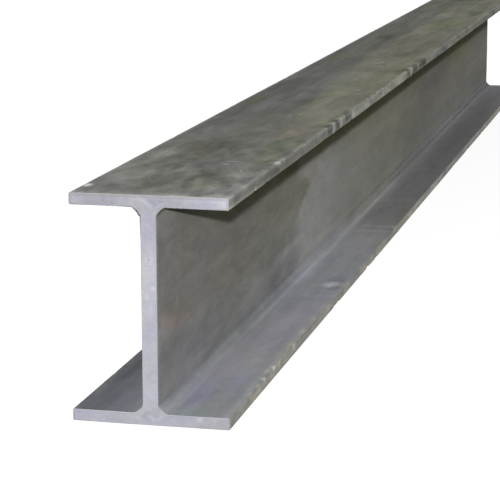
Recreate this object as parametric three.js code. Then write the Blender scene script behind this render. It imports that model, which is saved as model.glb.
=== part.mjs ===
// Hot-rolled steel I-beam, one length of stock, sawn square at both ends.
// Millimetres, +Z up. The section lies in the XZ plane and the length runs along Y.
// Origin: the centre of the footprint, on the surface that the bottom flange lies on.
import * as THREE from 'three';

// ---- Driving dimensions -------------------------------------------------
const LENGTH = 3000;          // stock length, along Y, over the end chamfers
const DEPTH = 250;            // overall depth of the section, along Z
const FLANGE_WIDTH = 175;     // along X, the same for both flanges
const FLANGE_THICKNESS = 13;  // parallel flanges, no taper
const WEB_THICKNESS = 17.5;
const ROOT_LEG = 10;          // reach of each root fillet along the flange and up the web
const ROOT_FULLNESS = 0.3;    // weight of the fillet's conic: 0 is a flat 45 degree face, 0.707 a quarter circle
const ROOT_STEPS = 8;
const TOE_RADIUS = 1.2;       // rounding of the four long edges of each flange
const TOE_STEPS = 4;
const END_CHAMFER = 1.2;      // deburred edge around each sawn end, 45 degrees

// ---- Section outline ----------------------------------------------------
// A conic from p0 to p2 with its corner at p1. It leaves both straight sides
// tangentially, like the root of a rolled section.
function conic(p0, p1, p2, weight, steps) {
  const points = [];
  for (let i = 0; i <= steps; i++) {
    const t = i / steps;
    const a = (1 - t) * (1 - t);
    const b = 2 * weight * t * (1 - t);
    const c = t * t;
    const sum = a + b + c;
    points.push(new THREE.Vector2(
      (a * p0.x + b * p1.x + c * p2.x) / sum,
      (a * p0.y + b * p1.y + c * p2.y) / sum,
    ));
  }
  return points;
}

// Rounds the corner at `corner` between the unit directions towards the
// previous and the next outline point.
function rounded(corner, toPrevious, toNext, reach, weight, steps) {
  const start = corner.clone().addScaledVector(toPrevious, reach);
  const end = corner.clone().addScaledVector(toNext, reach);
  return conic(start, corner, end, weight, steps);
}

const UP = new THREE.Vector2(0, 1);
const DOWN = new THREE.Vector2(0, -1);
const LEFT = new THREE.Vector2(-1, 0);
const RIGHT = new THREE.Vector2(1, 0);
const QUARTER_CIRCLE = Math.SQRT1_2;

const toe = (x, y, toPrevious, toNext) =>
  rounded(new THREE.Vector2(x, y), toPrevious, toNext, TOE_RADIUS, QUARTER_CIRCLE, TOE_STEPS);
const root = (x, y, toPrevious, toNext) =>
  rounded(new THREE.Vector2(x, y), toPrevious, toNext, ROOT_LEG, ROOT_FULLNESS, ROOT_STEPS);

const halfFlange = FLANGE_WIDTH / 2;
const halfWeb = WEB_THICKNESS / 2;
const lowLedge = FLANGE_THICKNESS;          // top of the bottom flange
const highLedge = DEPTH - FLANGE_THICKNESS; // underside of the top flange

// Anticlockwise from the bottom left toe.
const outline = [
  ...toe(-halfFlange, 0, UP, RIGHT),
  ...toe(halfFlange, 0, LEFT, UP),
  ...toe(halfFlange, lowLedge, DOWN, LEFT),
  ...root(halfWeb, lowLedge, RIGHT, UP),
  ...root(halfWeb, highLedge, DOWN, RIGHT),
  ...toe(halfFlange, highLedge, LEFT, UP),
  ...toe(halfFlange, DEPTH, DOWN, LEFT),
  ...toe(-halfFlange, DEPTH, RIGHT, DOWN),
  ...toe(-halfFlange, highLedge, UP, RIGHT),
  ...root(-halfWeb, highLedge, LEFT, DOWN),
  ...root(-halfWeb, lowLedge, UP, LEFT),
  ...toe(-halfFlange, lowLedge, RIGHT, DOWN),
];

// ---- Solid --------------------------------------------------------------
// The bevel is the end chamfer: the end faces are inset by it, and the full
// section starts one chamfer in from each end.
const solid = new THREE.ExtrudeGeometry(new THREE.Shape(outline), {
  depth: LENGTH - 2 * END_CHAMFER,
  steps: 1,
  bevelEnabled: true,
  bevelThickness: END_CHAMFER,
  bevelSize: END_CHAMFER,
  bevelOffset: -END_CHAMFER,
  bevelSegments: 1,
});
solid.translate(0, 0, -(LENGTH - 2 * END_CHAMFER) / 2); // centre the length
solid.rotateX(Math.PI / 2);                             // section upright, length along Y

const millScaleSteel = new THREE.MeshStandardMaterial({
  color: 0x7b7c78,
  roughness: 0.58,
  metalness: 0.75,
});

const beam = new THREE.Mesh(solid, millScaleSteel);
beam.name = 'i_beam';

const model = new THREE.Group();
model.name = 'steel_i_beam';
model.add(beam);

export default model;
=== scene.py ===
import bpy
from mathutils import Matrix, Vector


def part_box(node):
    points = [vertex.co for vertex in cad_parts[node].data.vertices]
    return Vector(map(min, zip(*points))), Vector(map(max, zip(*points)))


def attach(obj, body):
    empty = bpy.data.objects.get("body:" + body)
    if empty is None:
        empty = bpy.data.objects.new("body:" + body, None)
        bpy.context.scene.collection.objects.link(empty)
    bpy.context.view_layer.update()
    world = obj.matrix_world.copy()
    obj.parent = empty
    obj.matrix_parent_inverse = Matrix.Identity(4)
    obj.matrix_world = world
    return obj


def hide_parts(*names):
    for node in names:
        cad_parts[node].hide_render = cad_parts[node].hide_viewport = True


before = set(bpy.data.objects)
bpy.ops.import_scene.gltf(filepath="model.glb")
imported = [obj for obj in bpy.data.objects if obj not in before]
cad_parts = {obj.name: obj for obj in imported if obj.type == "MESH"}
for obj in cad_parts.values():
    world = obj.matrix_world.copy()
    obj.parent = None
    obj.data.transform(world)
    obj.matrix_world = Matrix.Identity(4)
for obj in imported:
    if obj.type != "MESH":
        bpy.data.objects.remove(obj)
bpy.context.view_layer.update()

import math

import bpy
import numpy as np
from mathutils import Matrix, Vector
from mathutils.geometry import delaunay_2d_cdt

scene = bpy.context.scene
LO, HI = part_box("i_beam")
Y0, Y1 = float(LO[1]), float(HI[1])     # the two sawn ends
MM = 0.001

# ---------------------------------------------------------------- camera
cam_data = bpy.data.cameras.new("camera")
cam_data.sensor_fit = "HORIZONTAL"
cam_data.sensor_width = 36.0
cam_data.lens = 141.59
cam = bpy.data.objects.new("camera", cam_data)
scene.collection.objects.link(cam)
right = Vector((0.9729123302, 0.2311602475, -0.0025568918))
down = Vector((0.0442739880, -0.1971742451, -0.9793682306))
ahead = Vector((-0.2268951558, 0.9527262236, -0.2020676403))
EYE = Vector((0.57235, Y0 - 1.94272, 0.60862))
rot = Matrix((right, -down, -ahead)).transposed()
cam.matrix_world = Matrix.Translation(EYE) @ rot.to_4x4()
cam_data.clip_start, cam_data.clip_end = 0.05, 100.0
scene.camera = cam

WORLD_UP, WORLD_LOW, KEY, FILL = 0.38, 0.09, 112.0, 3.4     # soft light from above and from below, the lamp, and a broad light from behind on the left

# ---------------------------------------------------------------- section
FLANGE_T, WEB_T = 13.0, 17.5
W2, H = 87.5, 250.0
ROOT_LEG, ROOT_W = 10.0, 0.3
TOE_R = 1.2


def conic(p0, p1, p2, w, n):
    """n + 1 points of a conic, with outward normals to its right."""
    out = []
    for i in range(n + 1):
        t = i / n
        a, b, c = (1 - t) ** 2, 2 * w * t * (1 - t), t * t
        s = a + b + c
        p = (a * p0 + b * p1 + c * p2) / s
        # derivative of the rational curve
        da, db, dc = -2 * (1 - t), 2 * w * (1 - 2 * t), 2 * t
        ds = da + db + dc
        d = ((da * p0 + db * p1 + dc * p2) - p * ds) / s
        d = d / np.linalg.norm(d)
        out.append((p, np.array([d[1], -d[0]])))
    return out


def arc_corner(x, z, prev, nxt, reach, w, n, tag):
    c = np.array([x, z], float)
    p0, p2 = c + np.array(prev, float) * reach, c + np.array(nxt, float) * reach
    return [(p, nrm, tag) for p, nrm in conic(p0, c, p2, w, n)]


U, D, Lf, Rt = (0, 1), (0, -1), (-1, 0), (1, 0)
QC = math.sqrt(0.5)
hw = WEB_T / 2
corners = [
    ("toe", -W2, 0, U, Rt), ("toe", W2, 0, Lf, U), ("toe", W2, FLANGE_T, D, Lf), ("root", hw, FLANGE_T, Rt, U),
    ("root", hw, H - FLANGE_T, D, Rt), ("toe", W2, H - FLANGE_T, Lf, U), ("toe", W2, H, D, Lf), ("toe", -W2, H, Rt, D),
    ("toe", -W2, H - FLANGE_T, U, Rt), ("root", -hw, H - FLANGE_T, Lf, D), ("root", -hw, FLANGE_T, U, Lf), ("toe", -W2, FLANGE_T, Rt, D),
]
# how many points to add on the flat after each corner
flats = [5, 1, 9, 20, 3, 1, 31, 1, 3, 7, 4, 1]
sec_p, sec_n, sec_corner, sec_root = [], [], [], []
for i, (kind, x, z, prev, nxt) in enumerate(corners):
    pts = arc_corner(x, z, prev, nxt, TOE_R if kind == "toe" else ROOT_LEG, QC if kind == "toe" else ROOT_W, 3 if kind == "toe" else 6, i)
    for p, nrm, tag in pts:
        sec_p.append(p); sec_n.append(nrm); sec_corner.append(i if kind == "toe" else -1); sec_root.append(i if kind == "root" else -1)
    kind2, x2, z2, prev2, _ = corners[(i + 1) % len(corners)]
    end = np.array([x2, z2], float) + np.array(prev2, float) * (TOE_R if kind2 == "toe" else ROOT_LEG)
    start = pts[-1][0]
    nflat = np.array([end[1] - start[1], -(end[0] - start[0])]); nflat = nflat / np.linalg.norm(nflat)
    steps = [k / (flats[i] + 1) for k in range(1, flats[i] + 1)]
    if i == 2:      # closer together towards the right tip, and again at the foot of the root
        steps = [t ** 1.35 for t in steps] + [0.913, 0.946, 0.974]
    for t in steps:
        sec_p.append(start * (1 - t) + end * t); sec_n.append(nflat); sec_corner.append(-1); sec_root.append(-1)
SP, SN = np.array(sec_p), np.array(sec_n)
SC, SR = np.array(sec_corner), np.array(sec_root)
NS = len(SP)

# ---------------------------------------------------------------- smooth noise for the mesh, seeded
def lattice(seed, ix, iy):
    h = (ix.astype(np.int64) * 374761393 + iy.astype(np.int64) * 668265263 + seed * 2246822519) & 0xFFFFFFFF
    h = ((h ^ (h >> 13)) * 1274126177) & 0xFFFFFFFF
    h = h ^ (h >> 16)
    return (h & 0xFFFFFF) / float(0xFFFFFF) * 2 - 1


def noise2(x, y, seed):
    ix, iy = np.floor(x), np.floor(y)
    fx, fy = x - ix, y - iy
    fx, fy = fx * fx * fx * (fx * (fx * 6 - 15) + 10), fy * fy * fy * (fy * (fy * 6 - 15) + 10)
    a, b = lattice(seed, ix, iy), lattice(seed, ix + 1, iy)
    c, d = lattice(seed, ix, iy + 1), lattice(seed, ix + 1, iy + 1)
    return (a * (1 - fx) + b * fx) * (1 - fy) + (c * (1 - fx) + d * fx) * fy


def fbm(x, y, seed, octaves=4, gain=0.5):
    total, amp, norm = 0.0, 1.0, 0.0
    for o in range(octaves):
        total = total + amp * noise2(x * 2**o + 17.3 * o, y * 2**o - 9.1 * o, seed + 31 * o)
        norm += amp
        amp *= gain
    return total / norm


def smooth(a, b, x):
    t = np.clip((x - a) / (b - a), 0, 1)
    return t * t * (3 - 2 * t)


# ---------------------------------------------------------------- rings along the length, millimetres from the front end
LEN = (Y1 - Y0) / MM
ys = []
y = 4.0
while y < LEN - 4.0:
    ys.append(y)
    y += 3.0 if y < 520 else 4.2 if y < 1250 else 6.0 if y < 2250 else 8.0
ys.append(LEN - 4.0)
ys = np.array(ys)

# dents in the long arrises: corner, distance from the front end, half length, depth, all in millimetres
rng = np.random.default_rng(41)
nicks = [
    (6, 120, 7, 0.5), (6, 241, 10, 0.5), (6, 262, 20, 0.4), (6, 378, 12, 0.5), (6, 447, 8, 0.5), (6, 547, 16, 2.0), (6, 601, 13, 2.2),
    (6, 677, 24, 2.1), (6, 779, 9, 0.8), (6, 854, 13, 1.3), (6, 898, 11, 1.4), (6, 948, 14, 1.2), (6, 985, 12, 1.3), (6, 1075, 10, 0.8),
    (6, 1208, 14, 1.5), (6, 1275, 18, 1.2), (6, 1345, 22, 1.6), (5, 118, 8, 0.5), (5, 505, 10, 0.6), (5, 700, 14, 0.6), (2, 92, 9, 0.5), (2, 160, 10, 0.6),
    (2, 208, 16, 0.55), (2, 320, 9, 0.9), (2, 655, 12, 1.1), (1, 1790, 10, 0.8), (1, 610, 14, 0.9), (7, 60, 10, 0.15), (7, 410, 14, 0.2),
    (11, 150, 10, 0.2), (11, 520, 16, 0.2),
]
for _ in range(64):
    c = int(rng.choice([6, 6, 5, 2, 2, 1, 7, 7, 8, 11, 11, 0]))
    nicks.append((c, float(rng.uniform(60, LEN - 40)), float(rng.uniform(5, 18)), float(rng.uniform(0.25, 1.1)) * (0.25 if c in (0, 7, 8, 11) else 1.0)))
corner_xy = {i: np.array([c[1], c[2]], float) for i, c in enumerate(corners) if c[0] == "toe"}


def nick_depth(corner, yy):
    d = np.zeros_like(yy)
    for c, y0, half, depth in nicks:
        if c == corner:
            t = np.clip(np.abs(yy - y0) / half, 0, 1)
            d = np.maximum(d, depth * (1 - t * t) ** 2)
    return d


def shaped(x, z, nx, nz, yy):
    """The section at yy mm from the front end, with the small faults of a rolled length. Every fault is cut inwards, so nothing passes the nominal box."""
    side = np.where(x > 0, 1.0, -1.0)
    k = np.clip(np.abs(x) / W2, 0, 1) ** 2
    top, low = z > H / 2, z <= H / 2
    droop = 0.30 + 0.30 * fbm(yy / 620.0, side * 3.1, 11, 3)
    lift = 0.16 + 0.15 * fbm(yy / 700.0, side * 5.7, 12, 3)
    dz = np.where(top & (z > H - 25), -k * droop - 0.05, 0.0) + np.where(low & (z < 25), k * lift, 0.0)
    inner = smooth(20, 60, z) * smooth(20, 60, H - z)
    dx = np.where(np.abs(x) < 22, 0.35 * fbm(yy / 480.0, z / 160.0, 13, 3) * inner, 0.0)
    tip = smooth(70, W2, np.abs(x))
    dx = dx - side * tip * (0.28 + 0.26 * fbm(yy / 260.0, side * 2.0 + np.where(top, 9.0, 0.0), 14, 3))
    # roll marks and scale relief
    along = np.where(np.abs(nx) > np.abs(nz), z, x)
    relief = 0.055 + 0.055 * fbm(yy / 34.0, along / 26.0 + np.where(np.abs(nx) > np.abs(nz), 40, 0) + side * 9, 15, 3)
    dx = dx - nx * relief
    dz = dz - nz * relief
    return x + dx, z + dz


rings = []   # (points Nx3 in mm, from the front end)
for yy in ys:
    yv = np.full(NS, yy)
    x, z = shaped(SP[:, 0], SP[:, 1], SN[:, 0], SN[:, 1], yv)
    for c, cxy in corner_xy.items():
        depth = nick_depth(c, np.array([yy]))[0]
        if depth > 0:
            d = np.hypot(SP[:, 0] - cxy[0], SP[:, 1] - cxy[1])
            near = np.exp(-((d / 3.4) ** 2)) * np.where(SC == c, 1.35, 1.0)
            out = np.array([np.sign(cxy[0]), 1.0 if c in (2, 3, 6, 7, 11) else -1.0]) * QC
            rough = 1 + 0.35 * noise2(np.array([yy / 3.1]), np.array([c * 7.7]), 21)[0]
            x = x - out[0] * depth * near * rough
            z = z - out[1] * depth * near * rough
    rings.append(np.stack([x, yv, z], 1))

# the deburred edge round each sawn end
arc_pos = np.concatenate([[0], np.cumsum(np.linalg.norm(np.diff(SP, axis=0), axis=1))])


def chamfer_width(front):
    base = np.full(NS, 0.55)
    base = np.where((SP[:, 1] > H - 1.5) & (SN[:, 1] > 0.5), 0.85, base)      # top of the top flange
    base = np.where((np.abs(SP[:, 0]) > W2 - 1.3), 0.8, base)                 # flange edges
    wobble = 1 + 0.40 * fbm(arc_pos / 13.0, np.zeros(NS) + (0 if front else 50), 31, 3)
    return np.clip(base * wobble * (1.0 if front else 0.9), 0.3, 1.4)


def end_rings(front):
    """Four rings from the sawn face to the full section."""
    c = chamfer_width(front)
    yv0 = np.zeros(NS) if front else np.full(NS, LEN)
    step = 1.0 if front else -1.0
    lip = np.zeros(NS)
    if front:   # the saw's breakout hangs on one root fillet
        m = SR == 9
        n = int(m.sum())
        lip[m] = np.interp(np.linspace(0, 1, n), (0.0, 0.22, 0.55, 0.85, 1.0), (0.15, 0.5, 0.8, 1.0, 0.35))
    out = []
    for f, inset, push in ((0.0, 1.0, -0.80), (0.30, 0.50, 1.45), (0.65, 0.15, 1.25), (1.0, 0.0, 0.35)):
        px = SP[:, 0] - SN[:, 0] * c * inset * (1 - lip) + SN[:, 0] * lip * push
        pz = SP[:, 1] - SN[:, 1] * c * inset * (1 - lip) + SN[:, 1] * lip * push
        yy = np.full(NS, 2.0 if front else LEN - 2.0)
        sx, sz = shaped(SP[:, 0], SP[:, 1], SN[:, 0], SN[:, 1], yy)
        keep = 1.0 if f > 0 else 0.4
        px, pz = px + (sx - SP[:, 0]) * keep, pz + (sz - SP[:, 1]) * keep
        out.append(np.stack([px, yv0 + step * f * c, pz], 1))
    return out if front else out[::-1]


all_rings = end_rings(True) + rings + end_rings(False)
NR = len(all_rings)
verts = np.concatenate(all_rings)
faces = []
i = np.arange(NS)
j = (i + 1) % NS
for r in range(NR - 1):
    a, b = r * NS + i, r * NS + j
    faces.append(np.stack([a, a + NS, b + NS, b], 1))
side_faces = np.concatenate(faces)


def inside(px, pz, poly):
    hit = np.zeros(len(px), bool)
    x1, z1 = poly[:, 0], poly[:, 1]
    x2, z2 = np.roll(x1, -1), np.roll(z1, -1)
    for a, b, c, d in zip(x1, z1, x2, z2):
        cond = (b > pz) != (d > pz)
        with np.errstate(divide="ignore", invalid="ignore"):
            t = (c - a) * (pz - b) / (d - b) + a
        hit ^= cond & (px < t)
    return hit


def cap(ring, base, front):
    """Triangles over one sawn end, with the saw's relief in them."""
    poly = ring[:, [0, 2]]
    g = 2.6 if front else 4.0
    ax, az = np.meshgrid(np.arange(-W2 + 2, W2, g), np.arange(2, H, g))
    ax, az = ax.ravel(), az.ravel()
    if front:
        g2 = 1.3
        bx, bz = np.meshgrid(np.arange(-24, 24.1, g2), np.concatenate([np.arange(1.6, 26, g2), np.arange(H - 26, H - 1, g2)]))
        bx, bz = bx.ravel(), bz.ravel()
        far = (np.abs(ax) > 25) | ((az > 27) & (az < H - 27))
        ax, az = np.concatenate([ax[far], bx]), np.concatenate([az[far], bz])
    gx = ax + 0.25 * g * noise2(ax * 1.7, az * 1.3, 61 + front)
    gz = az + 0.25 * g * noise2(az * 1.9 + 7, gx * 1.1, 62 + front)
    ok = inside(gx, gz, poly)
    dist = np.min(np.hypot(gx[:, None] - poly[None, :, 0], gz[:, None] - poly[None, :, 1]), axis=1)
    ok &= dist > 1.1
    # stay clear of the outline's straight stretches too
    for dx, dz in ((1.2, 0), (-1.2, 0), (0, 1.2), (0, -1.2)):
        ok &= inside(gx + dx, gz + dz, poly)
    pts = np.concatenate([poly, np.stack([gx[ok], gz[ok]], 1)])
    edges = [(k, (k + 1) % NS) for k in range(NS)]
    got = delaunay_2d_cdt([Vector(p) for p in pts], edges, [], 1, 1e-6)
    vco, _, fcs, orig = got[0], got[1], got[2], got[3]
    table = {}
    new_pts = []
    for k, (co, o) in enumerate(zip(vco, orig)):
        ids = [q for q in o if q < NS]
        if ids:
            table[k] = base + ids[0]
        else:
            table[k] = None
            new_pts.append((k, co[0], co[1]))
    if new_pts:
        arr = np.array([(p[1], p[2]) for p in new_pts])
        lines = np.sin((arr[:, 1] * 0.94 + arr[:, 0] * 0.34) * 2 * math.pi / 7.3 + 2.4 * fbm(arr[:, 0] / 60, arr[:, 1] / 60, 71, 2))
        depth = 0.07 + 0.05 * lines + 0.05 * fbm(arr[:, 0] / 9, arr[:, 1] / 9, 72, 3)
        depth = np.clip(depth, 0.0, 0.4)
        yv = depth if front else LEN - depth
        extra = np.stack([arr[:, 0], yv, arr[:, 1]], 1)
    else:
        extra = np.zeros((0, 3))
    return fcs, table, [p[0] for p in new_pts], extra


tri_caps = []
for front in (True, False):
    base = 0 if front else (NR - 1) * NS
    ring = all_rings[0] if front else all_rings[-1]
    fcs, table, keys, extra = cap(ring, base, front)
    first = len(verts)
    for n, k in enumerate(keys):
        table[k] = first + n
    verts = np.concatenate([verts, extra])
    tris = []
    for f in fcs:
        ids = [table[k] for k in f]
        if len(set(ids)) < 3:
            continue
        a, b, c = (verts[q] for q in ids[:3])
        area = (b[0] - a[0]) * (c[2] - a[2]) - (b[2] - a[2]) * (c[0] - a[0])
        if abs(area) < 1e-9:
            continue
        if (area > 0) != front:
            ids = ids[::-1]
        tris.append(ids)
    tri_caps.append(tris)

face_list = [tuple(int(q) for q in f) for f in side_faces]
n_side = len(face_list)
face_list += [tuple(f) for f in tri_caps[0]] + [tuple(f) for f in tri_caps[1]]
world = verts.copy() * MM
world[:, 1] += Y0

mesh = bpy.data.meshes.new("i_beam_rolled")
mesh.from_pydata([tuple(v) for v in world], [], face_list)
mesh.update()
beam = bpy.data.objects.new("i_beam_rolled", mesh)
scene.collection.objects.link(beam)

# ---------------------------------------------------------------- normals: area weighted, split where the saw cut
def face_normals(co, flist, quads):
    if quads:
        f = np.array(flist)
        n = np.cross(co[f[:, 2]] - co[f[:, 0]], co[f[:, 3]] - co[f[:, 1]]) * 0.5
    else:
        f = np.array(flist)
        n = np.cross(co[f[:, 1]] - co[f[:, 0]], co[f[:, 2]] - co[f[:, 0]]) * 0.5
    return f, n


vn_side, vn_cap = np.zeros_like(world), np.zeros_like(world)
f_side, n_sidef = face_normals(world, face_list[:n_side], True)
for k in range(4):
    np.add.at(vn_side, f_side[:, k], n_sidef)
f_cap, n_capf = face_normals(world, face_list[n_side:], False)
for k in range(3):
    np.add.at(vn_cap, f_cap[:, k], n_capf)
unit = lambda a: a / np.maximum(np.linalg.norm(a, axis=1, keepdims=True), 1e-12)
vn_side, vn_cap = unit(vn_side), unit(vn_cap)
loop_normals = np.concatenate([vn_side[f_side.ravel()], vn_cap[f_cap.ravel()]])
mesh.polygons.foreach_set("use_smooth", np.ones(len(face_list), bool))
mesh.normals_split_custom_set([tuple(n) for n in loop_normals])

# ---------------------------------------------------------------- where the finish varies, painted as soft fields on the vertices
NV = len(verts)
n_ring = NR * NS
X, Y, Z = verts[:, 0], verts[:, 1], verts[:, 2]
NX, NZ = np.zeros(NV), np.zeros(NV)
NX[:n_ring], NZ[:n_ring] = np.tile(SN[:, 0], NR), np.tile(SN[:, 1], NR)
ring_corner = np.full(NV, -1); ring_corner[:n_ring] = np.tile(SC, NR)
ring_root = np.full(NV, -1); ring_root[:n_ring] = np.tile(SR, NR)
is_cap = np.zeros(NV, bool); is_cap[n_ring:] = True

on_top = (NZ > 0.7) & (Z > H / 2)
on_ledge_r = (NZ > 0.7) & (Z < H / 2) & (X > 0)
on_ledge_l = (NZ > 0.7) & (Z < H / 2) & (X < 0)
on_soffit = (NZ < -0.7) & (Z > H / 2)
on_under = (NZ < -0.7) & (Z < H / 2)
on_web_r = (NX > 0.7) & (np.abs(X) < 22)
on_web_l = (NX < -0.7) & (np.abs(X) < 22)
on_edge_tr = (NX > 0.7) & (X > 60) & (Z > H / 2)
on_edge_br = (NX > 0.7) & (X > 60) & (Z < H / 2)
on_edge_l = (NX < -0.7) & (X < -60)
on_root = ring_root >= 0

CR = np.where((np.abs(NX) > np.abs(NZ)), Z, X)      # the crosswise coordinate on each face


def blob(y0, c0, ry, rc, seed=5, soft=0.55, warp=0.45, c=CR):
    d = np.sqrt(((Y - y0) / ry) ** 2 + ((c - c0) / rc) ** 2)
    d = d + warp * fbm(Y / (ry * 0.7) + seed, c / (rc * 0.7) - seed, 100 + seed, 3)
    return 1 - smooth(1 - soft, 1 + soft, d)


def bump(v, centre, width):
    return np.exp(-(((v - centre) / width) ** 2))


col = np.zeros((NV, 3))


def base(mask, rgb):
    col[mask] = rgb


def add(mask, amount, rgb):
    if isinstance(amount, np.ndarray):
        col[mask] += amount[mask][:, None] * np.array(rgb, float)
    else:
        col[mask] += amount * np.array(rgb, float)


col[:] = (100, 100, 97)
base(on_top, (111, 111, 106))
base(on_ledge_r, (124, 124, 125))
# painted shade: the left top of the bottom flange is darker and bluer than the right one, as the side away from the
# lamp
base(on_ledge_l, (105, 108, 115))
# painted shade: the underside of the top flange is dark olive
base(on_soffit, (74, 73, 60))
base(on_under, (88, 86, 80))
base(on_web_r, (106, 105, 101))
base(on_web_l, (104, 104, 103))
base(on_edge_tr, (110, 110, 107))
base(on_edge_br, (136, 135, 130))
base(on_edge_l, (104, 104, 101))
base(on_root & (Z < H / 2), (101, 101, 100))
low_root = on_root & (Z < H / 2)
ramp0 = np.interp(Y, (0, 200, 290), (11.0, 11.3, 13.6))
add(low_root, smooth(0, 3.6, np.abs(X) - ramp0), (17, 18, 18))
add(low_root, smooth(420, 270, Y), (-3, -3, -3))
add(low_root, smooth(560, 700, Y) * smooth(1150, 1020, Y) * smooth(11.5, 9.5, np.abs(X)), (8, 8, 8))
add(low_root, (2 + 2.5 * smooth(950, 1200, Y) - 3.5 * bump(Y, 1590, 110)) * smooth(12.2, 10.6, np.abs(X)), (1, 1, 1))
add(low_root, (5 * smooth(900, 1000, Y) + 18.5 * smooth(1020, 1180, Y) * smooth(1590, 1430, Y)) * smooth(10.8, 12.8, np.abs(X)), (1, 1, 1))
add(low_root, np.exp(-(((np.abs(X) - 10.6) / 1.7) ** 2)) * (2 * smooth(180, 300, Y) - 1) * (1 - smooth(1020, 1150, Y)), (4, 4, 4))
add(low_root, np.exp(-(((np.abs(X) - 13.4) / 1.2) ** 2)) * smooth(220, 310, Y) * (1 - 0.75 * smooth(560, 800, Y)), (-15, -15, -14))
add(low_root, 1 - smooth(60, 220, Y), (5, 5, 5))
foot_highlight = 9.5 * smooth(680, 860, Y) - 7 * bump(Y, 640, 40) - 9 * bump(Y, 1435, 90) - 2      # painted highlight, how bright it is along the foot of the roots
add(low_root, smooth(14, 16.5, np.abs(X)) * foot_highlight, (1, 1, 1))
add(low_root, bump(np.abs(X), 10.6, 1.6) * (9 * bump(Y, 1400, 90) - 10 * smooth(640, 780, Y) - 8 * bump(Y, 840, 80)), (1, 1, 1))
add(low_root, smooth(70, 25, Y) * bump(np.abs(X), 10.2, 1.5), (10, 10, 10))
add(low_root, smooth(11.4, 9.6, np.abs(X)) * bump(Y, 205, 50), (-5, -5, -5))
# painted shade: the root under the top flange is dark olive, lightened on the right within about 120 mm of the front
# end, where the lamp reaches it
base(on_root & (Z > H / 2), (96, 95, 84))
add(on_root & (Z > H / 2) & (X > 0), 1 - smooth(15, 120, Y), (20, 21, 28))

plain = col.copy()

# how mottled and how streaked each face is
mott = np.full(NV, 0.8)
drag_k = np.full(NV, 0.8)
for mask, m_, d_ in ((on_top, 1.25, 0.5), (on_web_r, 0.60, 0.7), (on_web_l, 0.45, 0.9), (on_ledge_r, 0.42, 1.0), (on_ledge_l, 0.50, 0.9),
                     (on_edge_tr, 1.1, 0.6), (on_edge_br, 1.2, 0.6), (on_edge_l, 1.0, 0.6), (on_root, 0.35, 1.2), (on_soffit, 0.7, 0.7), (on_under, 1.0, 0.5)):
    mott[mask], drag_k[mask] = m_, d_

far_calm = smooth(260, 620, Y)
mott[on_web_r] = (0.60 - 0.24 * smooth(750, 1100, Y))[on_web_r]
mott[on_ledge_r] = (0.42 - 0.08 * smooth(450, 900, Y))[on_ledge_r]
mott[on_top] = ((1.65 - 0.80 * far_calm) * (1 - 0.16 * smooth(0, -30, X) * smooth(620, 420, Y)))[on_top]
drag_k[on_top] = (0.5 + 0.5 * far_calm)[on_top]

# how far the marks are drawn out along the beam, which grows away from the front end
flow = np.stack([X, 0.34 * Y0 / MM + np.where(on_top, 340.0 * np.log1p(Y / 1000.0), 560.0 * np.log1p(Y / 2000.0)), Z], 1) * MM
Yw = np.where(on_top, Y, 2000.0 * np.log1p(Y / 2000.0))

# broad cloudiness everywhere, drawn out along the beam as the rolls leave it
cloud = np.where(on_top, fbm(Y / 150.0, CR / 62.0 + NX * 7 + NZ * 13, 201, 4), fbm(Yw / 210.0, CR / 56.0 + NX * 7 + NZ * 13, 201, 4))
cloud2 = np.where(on_top, fbm(Y / 46.0, CR / 30.0 + NX * 5 - NZ * 3, 202, 4), fbm(Yw / 84.0, CR / 24.0 + NX * 5 - NZ * 3, 202, 4))
calm = fbm(Y / 420.0, CR / 34.0 + NX * 5 - NZ * 3, 204, 4)
hue = fbm(Y / 330.0, CR / 75.0 + NX * 3 + NZ * 5, 203, 3)
everywhere = ~is_cap
add(everywhere, cloud * np.clip(mott, 0.25, 1.0), (8, 8, 8))
add(everywhere, cloud2 * np.clip(mott, 0.1, 1.1), (7, 7, 7))
long_streak = fbm(Y / 260.0, CR / 7.0 + NX * 5 - NZ * 3, 205, 3)
add(on_top, long_streak * (0.4 + 0.6 * far_calm), (5, 5, 5))
add(everywhere, calm * (1.1 - np.clip(mott, 0, 1)), (7, 7, 7))
add(everywhere, hue, (1.5, 0.5, -3.0))

# top of the top flange
T = on_top
add(T, 1 - smooth(120, 420, Y), (5, 5, 5))
add(T, smooth(430, 640, Y), (-5, -5, -7))
add(T, blob(128, 40, 50, 20, 1), (-24, -24, -25))
add(T, blob(88, -14, 52, 20, 2), (-20, -20, -22))
add(T, blob(40, -24, 34, 14, 28), (-4, -4, -5))
add(T, 1 - smooth(0, 16, Y), (18, 18, 18))
add(T, smooth(6, 1.5, Y) * smooth(5, 40, X), (28, 28, 28))
add(T, blob(76, 44, 20, 9, 29), (11, 12, 8))
add(T, blob(178, -30, 26, 8, 22), (-9, -9, -8))
add(T, blob(222, -12, 14, 5, 23), (-12, -12, -10))
add(T, blob(205, 10, 50, 20, 3), (-8, -8, -7))
add(T, blob(60, -62, 60, 18, 4), (6, 6, 8))
add(T, blob(38, 70, 34, 14, 5), (9, 9, 12))
add(T, blob(148, -42, 34, 6, 6, 0.7, 0.4), (13, 13, 12))
add(T, blob(150, 8, 34, 9, 7), (10, 10, 9))
add(T, blob(48, -81, 9, 5.0, 25, 0.5, 0.15), (80, 80, 80))
add(T, blob(325, -16, 84, 32, 26), (-10, -10, -13))
add(T, smooth(140, 260, Y) * (1 - smooth(460, 620, Y)) * smooth(70, 20, np.abs(X + 6)), (-3, -3, -4))
add(T, blob(290, -58, 50, 13, 27), (10, 10, 9))
add(T, blob(372, 62, 74, 17, 8), (-11, -7, -16))
add(T, blob(270, 62, 50, 13, 39), (-3, -2, -8))
add(T, blob(462, 54, 50, 12, 9), (9, 4, 2))
add(T, smooth(34, 8, Y), (6, 6, 6))
add(T, smooth(34, 8, Y) * smooth(42, 78, X), (31, 31, 29))
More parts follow.
